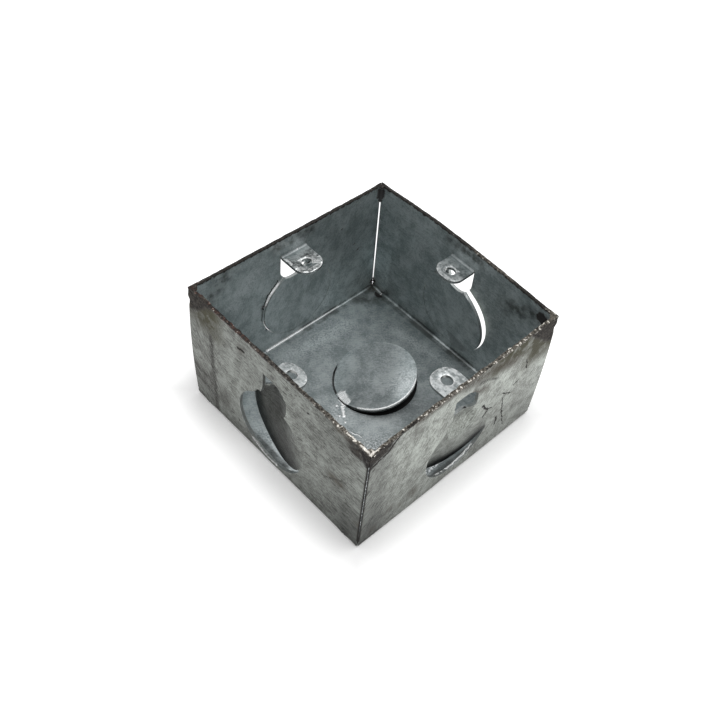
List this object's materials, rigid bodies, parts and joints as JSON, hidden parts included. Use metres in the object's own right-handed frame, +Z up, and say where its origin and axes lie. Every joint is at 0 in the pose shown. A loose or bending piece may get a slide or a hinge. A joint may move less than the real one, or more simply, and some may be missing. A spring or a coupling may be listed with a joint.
{
  "type": "metal back box",
  "caption": "Square open-topped galvanised steel back box folded from one sheet, with inward screw lugs and pushed-in knockouts.",
  "frame": {"origin": "middle of the underside, on the surface that the box stands on", "axes": "+Z up out of the open mouth; +X and +Y square to the walls, with the front wall towards -Y"},
  "size_m": [0.075, 0.075, 0.047],
  "materials": {
    "galvanised_sheet": "worn galvanised sheet, streaked and stained, with scorched welds and rust on the cut rim"
  },
  "bodies": {
    "root": {"back_box": "galvanised_sheet"}
  },
  "joints": []
}
